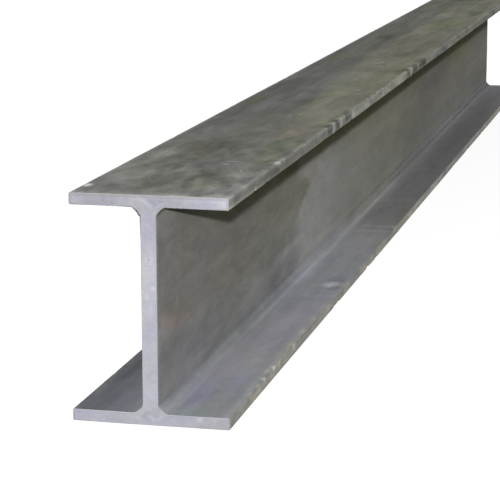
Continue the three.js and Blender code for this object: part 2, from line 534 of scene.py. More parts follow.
add(T, smooth(66, 16, Y) * smooth(58, 78, X), (11, 11, 11))
add(T, blob(86, 38, 34, 26, 56, 0.8, 0.4), (7, 7, 6))
add(T, blob(80, 26, 26, 7, 61, 0.8, 0.3), (8, 8, 7))
add(T, blob(122, 11, 28, 7, 65, 0.8, 0.3), (-9, -9, -9))
add(T, blob(520, 0, 60, 10, 66, 0.8, 0.3), (-5, -5, -5))
add(T, blob(232, 39, 36, 16, 57, 0.8, 0.4), (-18, -18, -17))
add(T, blob(285, -23, 110, 8, 58, 0.8, 0.4), (8, 8, 7))
add(T, blob(390, -48, 150, 13, 59, 0.8, 0.4), (-7, -7, -6))
add(T, blob(950, 6, 170, 12, 60, 0.8, 0.4), (-7, -7, -6))
line_x = np.interp(Y, (300, 500, 1100, 1450, 3000), (60, 28, -7, -12, -22))
olive = smooth(-12, 14, X - line_x + 12 * fbm(Y / 110, X / 26, 210, 3)) * smooth(330, 560, Y)
add(T, olive, (8, 8, 1))
add(T, (1 - olive) * smooth(420, 700, Y), (-6, -6, -4))
add(T, (1 - olive) * smooth(850, 1050, Y), (2, 2, 1))
for y0, c0, ry, rc, s, a in ((785, -70, 52, 11, 10, 0.7), (1395, -64, 55, 15, 11, 0.7), (2050, 30, 120, 30, 12, 0.45), (2600, -30, 160, 24, 13, 0.5)):
    add(T, blob(y0, c0, ry, rc, s) * a, (-10, -5, -22))
for y0, c0, ry, rc, s in ((1190, 78, 44, 8, 14), (1440, 40, 40, 15, 15), (1750, -40, 60, 20, 16), (2330, 60, 70, 14, 17), (2700, 5, 60, 30, 18)):
    add(T, blob(y0, c0, ry, rc, s), (-20, -19, -23))
for y0, c0, ry, rc, s in ((545, -5, 90, 16, 19), (610, 70, 60, 9, 20), (900, 30, 120, 14, 21), (1300, 62, 90, 12, 22), (1900, 10, 140, 22, 23), (2480, -50, 120, 16, 24)):
    add(T, blob(y0, c0, ry, rc, s), (5, 5, 3))

# right side of the web
Wm = on_web_r
# painted reflection: the web is darker and bluer before a curved line about 700 mm from the front end, and lighter
# after it
yb = 706 + 92 * bump(Z, 130, 20) + 9 * fbm(Z / 12.0, Y / 60.0, 220, 3)
light = smooth(-1, 1, (Y - yb) / (14 + 26 * smooth(105, 85, Z) + 20 * smooth(128, 150, Z)))
add(Wm, (1 - light) * smooth(330, 640, Y) * smooth(60, 84, Z), (-8, -8, -11))
add(Wm, light * (1 - smooth(840, 1100, Y)), (11, 11, 12))
add(Wm, light * smooth(930, 1180, Y) * (1 - smooth(1500, 2300, Y)), (3, 3, 0))
add(Wm, smooth(100, 62, Z + 6 * fbm(Y / 80, Z / 30, 221, 3)), (0, 1, 3))
add(Wm, blob(175, 48, 135, 24, 37, 0.7, 0.4), (-2, -2, 1))
add(Wm, blob(625, 37, 118, 17, 32, 0.40, 0.25), (-7, -8, -6))
add(Wm, blob(690, 100, 62, 15, 50, 0.8, 0.4), (8, 8, 8))
add(Wm, blob(795, 58, 80, 28, 51, 0.8, 0.4), (6, 6, 4))
add(Wm, smooth(40, 24, Z) * bump(Y, 1020, 90), (8, 8, 8))
add(Wm, smooth(1600, 1800, Y) * smooth(75, 55, Z) * smooth(24, 36, Z), (-5, -5, -5))
add(Wm, smooth(36, 26, Z) * smooth(1080, 1200, Y), (5, 5, 5))
add(Wm, smooth(1200, 1500, Y) * (1 - smooth(1700, 2200, Y)) * smooth(130, 90, Z), (-4, -4, -5))
add(Wm, smooth(165, 210, Z) * smooth(760, 1000, Y), (1, 0, -3))
add(Wm, blob(1150, 150, 300, 26, 33), (3, 3, 1))
add(Wm, blob(240, 190, 120, 22, 34), (-4, -4, -6))
add(Wm, blob(30, 214, 40, 15, 38, 0.8, 0.4), (10, 10, 10))


def trail(y0, c0, y1, c1, w, seed, c=CR):
    """1 along a soft ragged line between two points of a face."""
    dy, dc = y1 - y0, c1 - c0
    t = np.clip(((Y - y0) * dy + (c - c0) * dc) / (dy * dy + dc * dc), -0.2, 1.2)
    off = np.hypot(Y - y0 - t * dy, c - c0 - t * dc) * (1 + 0.5 * fbm(Y / 14, c / 6, seed, 3))
    return np.exp(-((off / w) ** 2)) * smooth(-0.15, 0.15, t) * smooth(1.15, 0.85, t)


def streak(y0, c0, y1, c1, w, seed, c=CR):
    """As trail, but with its width taken straight across the face, for marks drawn out along the beam."""
    off = (c - c0 - (Y - y0) * (c1 - c0) / (y1 - y0)) * (1 + 0.4 * fbm(Y / 40, c / 5, seed, 3)) + 1.6 * fbm(Y / 22, c * 0, seed + 1, 2)
    return np.exp(-((off / w) ** 2)) * smooth(y0 - 22, y0 + 14, Y) * smooth(y1 + 18, y1 - 18, Y)


ragged = np.clip(0.80 + 0.8 * fbm(Y / 30.0, Z / 4.0, 283, 3), 0, 1.3)
add(Wm, streak(14, 111, 120, 90, 3.6, 280) * ragged, (19, 4, 1))
add(Wm, streak(30, 113, 100, 97, 1.3, 286) * ragged, (6, 6, 4))
add(Wm, blob(62, 106.5, 22, 5.5, 62, 0.6, 0.3), (11, 6, 4))
add(Wm, blob(104, 92, 28, 5.5, 63, 0.6, 0.3), (7, 3, 2))
add(Wm, blob(41, 103, 11, 5, 64, 0.6, 0.3), (-4, -9, -6))
add(Wm, blob(16, 98, 34, 13, 30, 0.8, 0.5), (12, 12, 11))
add(Wm, blob(12, 118, 26, 26, 31, 0.8, 0.2), (6, 5, 4))
add(Wm, 1 - smooth(1, 9, Y), (12, 12, 16))
add(Wm, 1 - smooth(140, 330, Y), (3, 3, 5))
add(Wm, trail(540, 57, 720, 62, 4.5, 282), (13, 12, 10))
add(Wm, trail(70, 124, 84, 118, 2.5, 281), (16, 14, 10))
add(Wm, blob(1900, 100, 300, 40, 35), (-6, -6, -3))
add(Wm, blob(850, 120, 170, 14, 54, 0.8, 0.4), (6, 6, 6))
add(Wm, blob(720, 70, 60, 9, 55, 0.8, 0.4), (-6, -6, -5))
add(Wm, smooth(30, 8, Y) * bump(Z, 72, 12), (8, 8, 8))
add(Wm, smooth(205, 214, Z) * smooth(90, 50, Y), (6, 6, 6))
add(Wm, smooth(34, 27, Z) * bump(Y, 345, 80), (6, 6, 6))
add(Wm, smooth(1450, 1650, Y) * smooth(120, 136, Z) * smooth(200, 185, Z), (-5, -5, -5))
add(Wm, smooth(1450, 1650, Y) * bump(Z, 180, 10), (-5, -5, -5))
add(Wm, smooth(800, 900, Y) * smooth(1400, 1250, Y) * smooth(74, 90, Z) * smooth(156, 146, Z), (2, 2, 4))
add(Wm, blob(2500, 160, 260, 34, 36), (5, 3, -6))
add(Wm, smooth(135, 148, Z) * (1 - smooth(158, 164, Z)) * (4 * smooth(430, 500, Y) - 8.5 * smooth(740, 850, Y)), (1, 1, 1.1))
# painted shadow: where the lamp's shadow of the top flange falls on the web, from about 160 mm up and past about 300 mm
# from the front end, the web is mostly darkened and made more olive
shadow_band_paint = smooth(158.5, 164, Z) * smooth(250, 400, Y)
add(Wm, shadow_band_paint * (4 - 14 * smooth(340, 900, Y) - 6 * bump(Y, 900, 150)), (1, 1, 1))
add(Wm, shadow_band_paint * (7 + 5 * bump(Y, 1020, 200)), (0, 0, -1))
add(Wm, bump(Z, 203, 8) * smooth(230, 290, Y) * smooth(480, 370, Y), (8, 8, 8))
# top of the bottom flange, right
Lm = on_ledge_r
add(Lm, 1 - smooth(850, 1250, Y + 60 * fbm(Y / 200, X / 30, 230, 2)), (2, 3, 6))
add(Lm, smooth(980, 1250, Y + 50 * fbm(Y / 160, X / 24, 231, 3)), (-19, -19, -18))
add(Lm, blob(95, 32, 62, 13, 41), (-5, -3, 5))
add(Lm, blob(14, 42, 16, 22, 42), (-4, 0, -3))
add(Lm, blob(150, 60, 40, 10, 43), (-4, -2, 3))
add(Lm, blob(420, 55, 90, 12, 44), (5, 4, 6))
add(Lm, blob(662, 68, 16, 9, 45), (30, 29, 30))
add(Lm, blob(640, 74, 12, 9, 46), (-12, -12, -9))
add(Lm, blob(690, 70, 16, 12, 47), (-10, -10, -7))
for y0, w, a in ((1052, 6, 13), (1092, 8, 9), (590, 10, 5), (1330, 9, 7)):
    line = np.exp(-(((Y - y0 - 4 * noise2(X / 18, np.zeros(NV) + y0, 232)) / w) ** 2)) * smooth(26, 44, X)
    add(Lm, line, (a, a, a))
# painted highlight along the foot of the right root, on the flange
add(Lm & ~on_root, bump(np.clip(X - 18.5, 0, 99), 0, 5) * foot_highlight, (1, 1, 1))
add(Lm & ~on_root, bump(X, 28, 9) * smooth(1120, 1250, Y), (7, 7, 7))
add(Lm & ~on_root, bump(X, 20.5, 2.6) * smooth(200, 120, Y) * smooth(20, 50, Y), (4, 3, 6))
add(Lm, bump(X, 60, 14) * (smooth(960, 1060, Y) * smooth(1240, 1160, Y) + smooth(1550, 1650, Y)), (-4, -4, -4))
add(Lm, smooth(62, 72, X) * smooth(80, 76, X) * smooth(220, 150, Y), (-5, -5, -5))
add(Lm, blob(300, 48, 130, 24, 52, 0.8, 0.4), (1.0, -0.6, 1.4))
add(Lm, blob(430, 70, 110, 14, 53, 0.8, 0.4), (1.4, -0.6, 2.2))
add(Lm, smooth(76, 82, X) * smooth(180, 260, Y) * smooth(700, 600, Y), (1, 1, 3))
add(on_ledge_l, smooth(-45, -66, X) * smooth(400, 250, Y), (-10, -11, -11))
add(on_ledge_l, smooth(-66, -50, X) * smooth(300, 150, Y), (6, 6, 7))
add(on_ledge_l, smooth(-68, -80, X) * smooth(460, 250, Y), (-10, -10, -12))
tan_rim = smooth(74, 84, X + 4 * fbm(Y / 60, X / 9, 234, 3))
add(Lm, tan_rim * (0.6 + 0.6 * fbm(Y / 90, np.zeros(NV), 235, 3)) * (1 - smooth(480, 900, Y)), (15, 14, 9))
add((ring_corner == 2) & ~is_cap, 1.0, (-5, -5, -4))
tip_zone = Lm | (ring_corner == 2) | on_edge_br
for y0, c0, ry, rc, rgb_ in ((100, 86, 9, 2.2, (14, 13, 10)), (132, 87, 8, 2.0, (16, 15, 12)), (165, 85.5, 7, 2.0, (27, 26, 22)), (180, 87, 8, 2.0, (-9, -9, -10)), (198, 84.0, 9, 2.0, (22, 22, 21)),
                             (216, 85.5, 8, 2.0, (25, 25, 24)), (240, 87, 10, 2.0, (7, 5, 3)), (322, 83, 16, 3.5, (9, 11, -2)), (390, 84, 14, 2.5, (20, 20, 19)), (455, 84, 14, 3, (13, 12, 6)), (520, 83, 20, 3, (8, 7, -2))):
    add(tip_zone, blob(y0, c0, ry, rc, int(y0) % 37, 0.6, 0.3, np.clip(X, 0, 87) + np.where(Z < 12, (12 - Z) * 0.5, 0.0)), rgb_)
# painted highlight: a thin light line along the foot of each root, where the fillet meets the flange
for side in (1, -1):
    foot_glint = bump(X * side, 18.2 + 1.6 * smooth(230, 120, Y), 1.9) * (0.6 + 0.4 * fbm(Y / 110, np.zeros(NV) + side, 233, 3)) * (0.85 + 1.3 * np.exp(-(((Y - 445) / 48) ** 2)) + 0.6 * np.exp(-(((Y - 690) / 110) ** 2)))
    add((X * side > 0) & (Z < 30) & (NZ > 0.25), foot_glint * smooth(8, 60, Y), (14, 13, 18))
# painted highlight on the flange next to the right root, broad near 700 mm and again farther back
add(Lm, blob(700, 21, 110, 7, 48, 0.8, 0.3), (9, 9, 10))
add(Lm & ~on_root, np.exp(-((np.clip(X - 18.5, 0, 99) / 6.0) ** 2)) * (8.5 * smooth(800, 850, Y) + 9.5 * smooth(1040, 1160, Y) * smooth(1560, 1420, Y)), (1, 1, 1))
# edges
edge_zone = (X > 80) & (Z > 236) & ~is_cap & (on_edge_tr | (ring_corner == 5) | (ring_corner == 6))
add(on_edge_tr, smooth(243, 238.5, Z), (4, 4, 4))
add(edge_zone & (ring_corner == 5), fbm(Y / 30, np.zeros(NV), 243, 3), (12, 12, 11))
add(edge_zone, fbm(Y / 70, Z / 30, 244, 4), (10, 10, 8))
add(edge_zone, fbm(Y / 14, Z / 6, 245, 3), (6, 6, 6))
add(on_edge_tr, smooth(245, 248, Z), (5, 5, 4))
add(edge_zone, smooth(640, 740, Y) * smooth(1500, 1190, Y), (16, 16, 15))
add(on_edge_tr, np.exp(-(((Y - 205) / 80) ** 2)) * smooth(238, 241, Z), (-11, -11, -11))
add(edge_zone, np.exp(-(((Y - 1140) / 60) ** 2)), (10, 8, 4))
add(on_edge_tr, smooth(34, 8, Y), (22, 22, 21))
add(edge_zone, bump(Y, 82, 24) * smooth(243, 245, Z), (-8, -8, -8))
add(edge_zone, bump(Y, 105, 45) * smooth(239.5, 241.5, Z), (-6, -6, -6))
lower = smooth(242.5, 239, Z)
add(on_edge_tr, lower * smooth(220, 120, Y), (6, 6, 6))
add(on_edge_tr, smooth(240.5, 238.5, Z) * smooth(110, 20, Y), (15, 15, 14))
add(on_edge_tr, lower * bump(Y, 490, 50), (7, 7, 7))
add(on_edge_tr, lower * smooth(520, 555, Y) * smooth(745, 710, Y), (-10, -10, -10))
add(on_edge_tr, lower * bump(Y, 1305, 200), (-18, -18, -18))
add(on_edge_tr, lower * (2 - 2 * smooth(700, 1000, Y) - 5 * smooth(1000, 1600, Y)), (1, 1, 1))
add(edge_zone, smooth(245, 247.5, Z) * smooth(680, 720, Y) * smooth(880, 800, Y), (-17, -17, -17))
add(edge_zone, smooth(246.5, 248.5, Z) * (bump(Y, 275, 30) + smooth(680, 740, Y)), (-7, -7, -7))
add(edge_zone, bump(Y, 1250, 70), (-11, -11, -11))
add(edge_zone, smooth(241, 243, Z) * smooth(246.5, 245, Z) * bump(Y, 980, 90), (9, 9, 8))
for y0, half, k_dark in ((547, 16, 1), (601, 12, 1), (677, 25, 1), (854, 11, 0.4), (898, 10, 0.45), (948, 13, 0.4), (985, 11, 0.4), (1212, 15, 1.0), (1280, 26, 1.1), (1360, 42, 1.5), (1620, 30, 0.6), (1960, 24, 0.7), (2410, 34, 0.6)):
    d = np.abs(Y - y0 - 3 * noise2(Z / 3.0, np.zeros(NV) + y0, 246)) / half
    m = (1 - smooth(0.5, 1.2, d)) * smooth(237.5, 242, Z)
    add(edge_zone, m * k_dark, (-34, -34, -34))
    add(T, (1 - smooth(0.4, 1.1, d)) * smooth(76, 86, X) * k_dark, (-20, -20, -20))
high, low_ = smooth(246.5, 249, Z), smooth(241, 238.5, Z)
for y0, half, k_light, where in ((573, 8, 1.0, 1), (624, 9, 1.0, 1), (650, 6, 0.5, high), (524, 7, 0.5, high), (240, 11, 1.5, high), (268, 16, 0.6, high), (378, 9, 0.3, high),
                                 (120, 5, 1.1, low_), (74, 8, 0.6, high), (713, 12, 0.4, 1), (836, 6, 0.4, 1), (1238, 10, 0.7, 1), (1308, 7, 0.2, 1)):
    m = np.exp(-(((Y - y0) / half) ** 2)) * where
    add(edge_zone, m * k_light, (38, 38, 36))
    add(T, m * k_light * smooth(72, 84, X), (14, 14, 13))
add(on_edge_br, fbm(Y / 60, Z / 6, 240, 3), (12, 8, 2))
add(on_edge_br, fbm(Y / 11, Z / 4, 241, 3), (12, 12, 11))
add(on_edge_br | (ring_corner == 2), blob(330, 10, 120, 6, 49, 0.8, 0.4, Z), (2, 0, -2))
# painted shade under the top flange: the top of the web on both sides and the root under the flange are darkened, more
# so and more olive from about 160 mm up, where the lamp's shadow falls
shade = np.exp(-((np.clip(H - FLANGE_T - Z, 0, 99) / 20.0) ** 2)) * (np.abs(X) < 60)
add(on_web_r | on_web_l | (on_root & (Z > H / 2)), shade * smooth(60, 330, Y), (-22, -23, -34))
add(on_web_r | on_web_l, smooth(158, 180, Z) * smooth(190, 420, Y), (-5, -6, -15))
add(on_web_r | on_web_l, smooth(160, 174, Z) * smooth(420, 900, Y), (-9, -10, -9))
add(on_soffit, fbm(Y / 120, X / 24, 242, 3), (6, 5, 0))

# the sawn ends
front_cap = (is_cap | (np.arange(NV) < NS)) & (Y < LEN / 2)
back_cap = (is_cap | ((np.arange(NV) >= (NR - 1) * NS) & (np.arange(NV) < n_ring))) & (Y > LEN / 2)
caps = front_cap | back_cap
base(caps, (180, 180, 192))
web_face = smooth(13, 7, np.abs(X)) * smooth(8, 22, Z) * smooth(8, 22, H - Z)
add(caps, web_face, (5, 5, 5))
add(caps, web_face * np.exp(-(((Z - 160) / 34) ** 2)), (13, 14, 11))
add(front_cap, smooth(-15, -50, X) * (Z > H / 2), (-5, -5, -3))
add(front_cap, smooth(15, 80, X) * (Z > H / 2), (12, 12, 11))
add(front_cap, smooth(242, 247, Z) * smooth(-40, -10, X), (9, 9, 9))
add(front_cap, smooth(30, 80, X) * (Z < H / 2), (-4, -4, -7))
add(front_cap, smooth(-66, -82, X) * (Z > H / 2), (13, 12, 8))
add(front_cap, smooth(70, 86, X) * (Z > H / 2), (19, 19, 16))
add(front_cap, bump(X, 18, 9) * (Z > 236), (-5, -4, -3))
add(caps, fbm(X / 19 + np.where(Y > 9, 31, 0), Z / 17, 260, 4), (7, 7, 6))
add(caps, fbm(X / 6 + np.where(Y > 9, 13, 0), Z / 6, 261, 3), (4, 4, 4))


def stroke(x0, z0, x1, z1, w, bend=0.0):
    """1 on a short scuff from one point to another of a sawn end, fading at both tips."""
    dx, dz = x1 - x0, z1 - z0
    length = math.hypot(dx, dz)
    t = ((X - x0) * dx + (Z - z0) * dz) / length**2
    off = ((X - x0) * dz - (Z - z0) * dx) / length + bend * 4 * np.clip(t, 0, 1) * (1 - np.clip(t, 0, 1))
    return np.exp(-((off / w) ** 2)) * smooth(-0.15, 0.15, t) * smooth(1.15, 0.85, t)


for x0, z0, x1, z1, w, b, a in (
    (-8, 245, 5, 235, 1.5, 0.8, 14), (-4.5, 248.5, 9, 239, 1.3, 0.6, -11), (-15, 241, -6, 231, 1.6, -0.5, -9), (9, 238, 17, 242, 1.5, 0, 9), (1, 247, 16, 244, 1.2, 0, -8),
    (-3.5, 12, 3.5, 4, 1.3, 0.4, 15), (4, 6, 15, 11.5, 1.4, -0.6, 12), (-1, 15, -9, 8.5, 1.4, 0.5, -10), (5, 14, 9, 8, 1.2, 0, -9), (-16, 8, -9, 6, 1.6, 0, 9),
    (-2, 120, 4, 126, 1.1, 0, 8), (3, 60, -4, 54, 1.1, 0, -7),
):
    add(front_cap, stroke(x0, z0, x1, z1, w, b), (a, a, a * 0.9))
for cx, cz, r, a in ((4.6, 150, 1.9, 26), (-2.9, 140.5, 2.2, 20), (1.5, 128, 1.6, 14), (54, 9.5, 2.4, 26), (70, 10.5, 1.6, 22), (-33, 8, 2.0, 12), (24, 245, 2.0, -12), (33, 243, 1.8, -12), (-48, 243, 2.0, -10)):
    add(front_cap, np.exp(-((np.hypot(X - cx, Z - cz) / r) ** 2)), (a, a, a))
pit_r = np.hypot(X - 0.6, (Z - 181) * 0.8)
add(front_cap, np.exp(-((pit_r / 1.5) ** 2)), (-16, -16, -16))
add(front_cap, np.exp(-(((pit_r - 3.4) / 1.0) ** 2)), (9, 9, 9))

# distance from the bright outer edges of a sawn end, in widths of the bright line; the line is bare edge steel with a
# painted highlight, wide on the outer edges and narrow in the recesses
wid = np.full(NS, 0.45)
up_ = SN[:, 1] > 0.7
dn_ = SN[:, 1] < -0.7
rt_ = SN[:, 0] > 0.7
lf_ = SN[:, 0] < -0.7
hi_ = SP[:, 1] > H / 2
mid_ = np.abs(SP[:, 0]) < 12
wid[up_ & hi_] = 2.2
wid[up_ & ~hi_] = 0.6
wid[rt_ & mid_] = 0.5
wid[lf_ & mid_] = 0.5
wid[lf_ & ~mid_ & hi_] = 2.5
wid[rt_ & ~mid_ & hi_] = 2.1
wid[rt_ & ~mid_ & ~hi_] = 1.8
wid[lf_ & ~mid_ & ~hi_] = 1.5
wid[dn_ & hi_] = 0.5
wid[SR >= 0] = 0.35
for tip, w_ in ((7, 2.2), (8, 2.0), (5, 1.6), (6, 2.2), (2, 1.6), (1, 1.2)):
    wid[SC == tip] = w_
rimd = np.full(NV, 4.0)
for mask, first in ((front_cap, 0), (back_cap, (NR - 1) * NS)):
    ids = np.nonzero(mask)[0]
    outline = verts[first:first + NS][:, [0, 2]]
    best = np.full(len(ids), 9.0)
    for k in range(NS):
        a_, b_ = outline[k], outline[(k + 1) % NS]
        seg = b_ - a_
        L2 = float(seg @ seg) + 1e-9
        px, pz = X[ids] - a_[0], Z[ids] - a_[1]
        t = np.clip((px * seg[0] + pz * seg[1]) / L2, 0, 1)
        d = np.hypot(px - t * seg[0], pz - t * seg[1])
        best = np.minimum(best, d / (wid[k] * (1 - t) + wid[(k + 1) % NS] * t))
    rimd[ids] = np.clip(best, 0, 4)

# chamfer rings take the bright edge colour: bare edge steel with a painted highlight, brightest where the chamfer faces
# up and right, darkest in the roots
near_ring = np.zeros(NV, bool)
near_ring[:3 * NS] = True
near_ring[(NR - 3) * NS:n_ring] = True
chamfer = near_ring & ~caps
base(chamfer, (172, 172, 173))
base(chamfer & (Z > H - 3), (212, 211, 208))
base(chamfer & (np.abs(X) > W2 - 1.6), (186, 186, 186))
base(chamfer & (X > W2 - 1.6) & (Z < H / 2), (206, 206, 206))
base(chamfer & (X > W2 - 1.6) & (Z > H / 2), (232, 232, 230))
base(chamfer & (ring_root >= 0), (146, 146, 148))
base(chamfer & (NZ > 0.7) & (Z < 20), (204, 204, 206))
rimd[near_ring] = np.where((Z > H - 3) | (np.abs(X) > W2 - 1.6), 0.3, 1.2)[near_ring]

# ---- from the tones of the faces, as they should appear, to reflectance: what each face gets of the light is divided out
punch = np.where(on_top, 1.25, 1.12)[:, None]
col = np.where((caps | chamfer)[:, None], col, plain + (col - plain) * punch)
col = np.clip(col, 12, 235) / 255.0
lin = np.where(col <= 0.04045, col / 12.92, ((col + 0.055) / 1.055) ** 2.4)
gain = np.full(NV, 1.0)
gain[on_top] = (1.27 + 0.15 * smooth(180, 420, Y))[on_top]
gain[on_ledge_r] = 0.775
gain[on_ledge_l] = (1.50 - 0.50 * smooth(330, 620, Y))[on_ledge_l]
gain[on_web_r | on_web_l] = (np.interp(Y, (0, 350, 600, 1100, 1550, 1800, 2100, 2900), (0.70, 0.73, 0.61, 0.588, 0.55, 0.57, 0.58, 0.50)) - 0.03 * smooth(150, 185, Z) * smooth(350, 200, Y))[on_web_r | on_web_l]
gain[on_edge_tr | on_edge_br | on_edge_l] = np.interp(Y, (0, 150, 300, 450, 700, 1200, 3000), (0.53, 0.55, 0.61, 0.58, 0.467, 0.465, 0.44))[on_edge_tr | on_edge_br | on_edge_l]
gain[(ring_corner == 2) & (NX > 0.3) & (NX < 0.95) & ~is_cap] = 0.88     # the arris faces the light more squarely than either face
gain[on_soffit] = 0.72
gain[on_root] = 0.78
gain[(ring_root == 10)] = 1.45
gain[caps | chamfer] = (0.92 + 0.07 * smooth(30, 245, Z))[caps | chamfer]
lin = lin / gain[:, None]

# masks
wear = np.zeros(NV)
wear[ring_corner >= 0] = 1.0
wear[ring_corner == 5] = 0.35
wear[ring_corner == 2] = 0.25
wear[ring_corner == 11] = 0.45
wear[ring_corner == 6] = (0.75 + 0.5 * fbm(Y / 45.0, np.zeros(NV), 270, 3))[ring_corner == 6]
rust = np.zeros(NV)
rust = np.maximum(rust, np.where(on_web_r, 0.22 * streak(14, 111, 120, 90, 3.6, 61), 0))
rust = np.maximum(rust, np.where(on_ledge_r, 0.07 * tan_rim, 0))
rust = np.maximum(rust, np.where(on_edge_br, 0.10, 0))
rust = np.maximum(rust, np.where(on_top, 0.10 * blob(462, 52, 50, 11, 63, 0.8, 0.7), 0))
rust = np.maximum(rust, np.where(on_web_l, 0.8 * blob(1350, 150, 90, 16, 64, 0.8, 0.8), 0))
rust = np.maximum(rust, np.where(on_web_l, 0.6 * blob(420, 60, 70, 14, 65, 0.8, 0.8), 0))
rust = np.maximum(rust, np.where(on_under, 0.35, 0))
lipdark = np.zeros(NV)
lipdark[(ring_root == 9) & (Y < 3.0)] = 1.0
lipdark[:NS] = 0.0


def put(name, kind, values):
    a = mesh.attributes.new(name, kind, "POINT")
    if kind == "FLOAT_COLOR":
        a.data.foreach_set("color", np.concatenate([values, np.ones((NV, 1))], 1).astype(np.float32).ravel())
    elif kind == "FLOAT_VECTOR":
        a.data.foreach_set("vector", values.astype(np.float32).ravel())
    else:
        a.data.foreach_set("value", values.astype(np.float32))


put("tint", "FLOAT_COLOR", lin)
put("wear", "FLOAT", wear)
put("rimd", "FLOAT", rimd)
put("rust", "FLOAT", rust)
put("lipdark", "FLOAT", lipdark)
put("mott", "FLOAT", mott)
put("drag", "FLOAT", drag_k)
put("flow", "FLOAT_VECTOR", flow)


# ---------------------------------------------------------------- node helpers
class Net:
    def __init__(self, name):
        self.mat = bpy.data.materials.new(name)
        self.mat.use_nodes = True
        self.nt = self.mat.node_tree
        self.nt.nodes.clear()
        self.out = self.nt.nodes.new("ShaderNodeOutputMaterial")
        self.bsdf = self.nt.nodes.new("ShaderNodeBsdfPrincipled")
        self.nt.links.new(self.bsdf.outputs[0], self.out.inputs["Surface"])
        self.co = self.nt.nodes.new("ShaderNodeTexCoord").outputs["Object"]

    def node(self, kind, **props):
        n = self.nt.nodes.new(kind)
        for k, v in props.items():
            setattr(n, k, v)
        return n

    def set(self, socket, value):
        if isinstance(value, bpy.types.NodeSocket):
            self.nt.links.new(value, socket)
        else:
            socket.default_value = value

    def math(self, op, a, b=None, c=None, clamp=False):
        n = self.node("ShaderNodeMath", operation=op, use_clamp=clamp)
        for s, v in zip(n.inputs, (a, b, c)):
            if v is not None:
                self.set(s, v)
        return n.outputs[0]

    def scaled(self, sx, sy, sz, rot=(0, 0, 0), loc=(0, 0, 0), co=None):
        n = self.node("ShaderNodeMapping")
        n.inputs["Scale"].default_value = (sx, sy, sz)
        n.inputs["Rotation"].default_value = rot
        n.inputs["Location"].default_value = loc
        self.nt.links.new(self.co if co is None else co, n.inputs["Vector"])
        return n.outputs[0]

    def noise(self, vec, scale, detail=4.0, rough=0.5, distort=0.0):
        n = self.node("ShaderNodeTexNoise")
        self.set(n.inputs["Vector"], vec)
        n.inputs["Scale"].default_value = scale
        n.inputs["Detail"].default_value = detail
        n.inputs["Roughness"].default_value = rough
        n.inputs["Distortion"].default_value = distort
        return n.outputs["Fac"]

    def voronoi(self, vec, scale, feature="F1", out="Distance", randomness=1.0):
        n = self.node("ShaderNodeTexVoronoi", feature=feature)
        self.set(n.inputs["Vector"], vec)
        n.inputs["Scale"].default_value = scale
        n.inputs["Randomness"].default_value = randomness
        return n.outputs[out]

    def span(self, v, a, b, c=0.0, d=1.0, smoothed=True):
        n = self.node("ShaderNodeMapRange", interpolation_type="SMOOTHSTEP" if smoothed else "LINEAR")
        self.set(n.inputs["Value"], v)
        for name, val in (("From Min", a), ("From Max", b), ("To Min", c), ("To Max", d)):
            n.inputs[name].default_value = val
        return n.outputs["Result"]

    def attr(self, name, out="Fac"):
        n = self.node("ShaderNodeAttribute", attribute_name=name)
        return n.outputs[out]

    def mix(self, fac, a, b, blend="MIX"):
        n = self.node("ShaderNodeMix", data_type="RGBA", blend_type=blend, clamp_factor=True)
        self.set(n.inputs[0], fac)
        self.set(n.inputs[6], a)
        self.set(n.inputs[7], b)
        return n.outputs[2]

    def grey(self, v):
        n = self.node("ShaderNodeCombineColor")
        for s in n.inputs[:3]:
            self.set(s, v)
        return n.outputs[0]

    def around(self, v, amount, by=None):
        """(v - 0.5) * amount, scaled by another field where given."""
        r = self.math("MULTIPLY", self.math("SUBTRACT", v, 0.5), amount)
        return r if by is None else self.math("MULTIPLY", r, by)

    def bump(self, height, strength, distance, normal=None):
        n = self.node("ShaderNodeBump")
        n.inputs["Strength"].default_value = strength
        n.inputs["Distance"].default_value = distance
        self.set(n.inputs["Height"], height)
        if normal is not None:
            self.set(n.inputs["Normal"], normal)
        return n.outputs["Normal"]


def rgb(r, g, b, k=1.0):
    f = lambda v: v / 255 / 12.92 if v / 255 <= 0.04045 else ((v / 255 + 0.055) / 1.055) ** 2.4
    return (f(r) * k, f(g) * k, f(b) * k, 1.0)


# ---------------------------------------------------------------- mill scale over rolled steel
N = Net("mill_scale")
A_ = N.attr("mott")
D_ = N.attr("drag")
flow = N.attr("flow", "Vector")
mottle = N.noise(flow, 34.0, 7.0, 0.62, 0.35)
patch = N.noise(flow, 11.0, 5.0, 0.55, 0.6)
grain = N.noise(N.co, 260.0, 5.0, 0.6)
dapple = N.noise(N.scaled(1.0, 1.9, 1.0, loc=(2.2, 6.1, 0.3), co=flow), 62.0, 6.0, 0.62, 0.5)
drag = N.noise(N.scaled(70.0, 1.6, 70.0), 1.0, 3.0, 0.5)
fine_drag = N.noise(N.scaled(260.0, 5.0, 260.0), 1.0, 2.0, 0.5)
tone = N.math("ADD", 1.0, N.around(mottle, 1.25, A_))
tone = N.math("ADD", tone, N.around(patch, 0.55, A_))
tone = N.math("ADD", tone, N.around(dapple, 0.75, N.math("MULTIPLY_ADD", A_, 0.9, 0.1)))
tone = N.math("ADD", tone, N.around(grain, 0.55, N.math("MULTIPLY_ADD", A_, 0.6, 0.35)))
tone = N.math("ADD", tone, N.around(drag, 0.22, D_))
tone = N.math("ADD", tone, N.around(fine_drag, 0.20, D_))
tint = N.attr("tint", "Color")
colour = N.mix(1.0, tint, N.grey(tone), "MULTIPLY")

# thin places where the scale has come off in flakes: brighter, bluer steel with a sharp edge
flake_n = N.noise(N.scaled(1.0, 0.6, 1.0, loc=(3.1, 0.7, 1.9)), 23.0, 9.0, 0.68, 0.8)
flake = N.math("MULTIPLY", N.span(flake_n, 0.625, 0.665), N.span(A_, 0.2, 1.0, 0.15, 1.0))
colour = N.mix(N.math("MULTIPLY", flake, 0.40), colour, rgb(150, 150, 152))
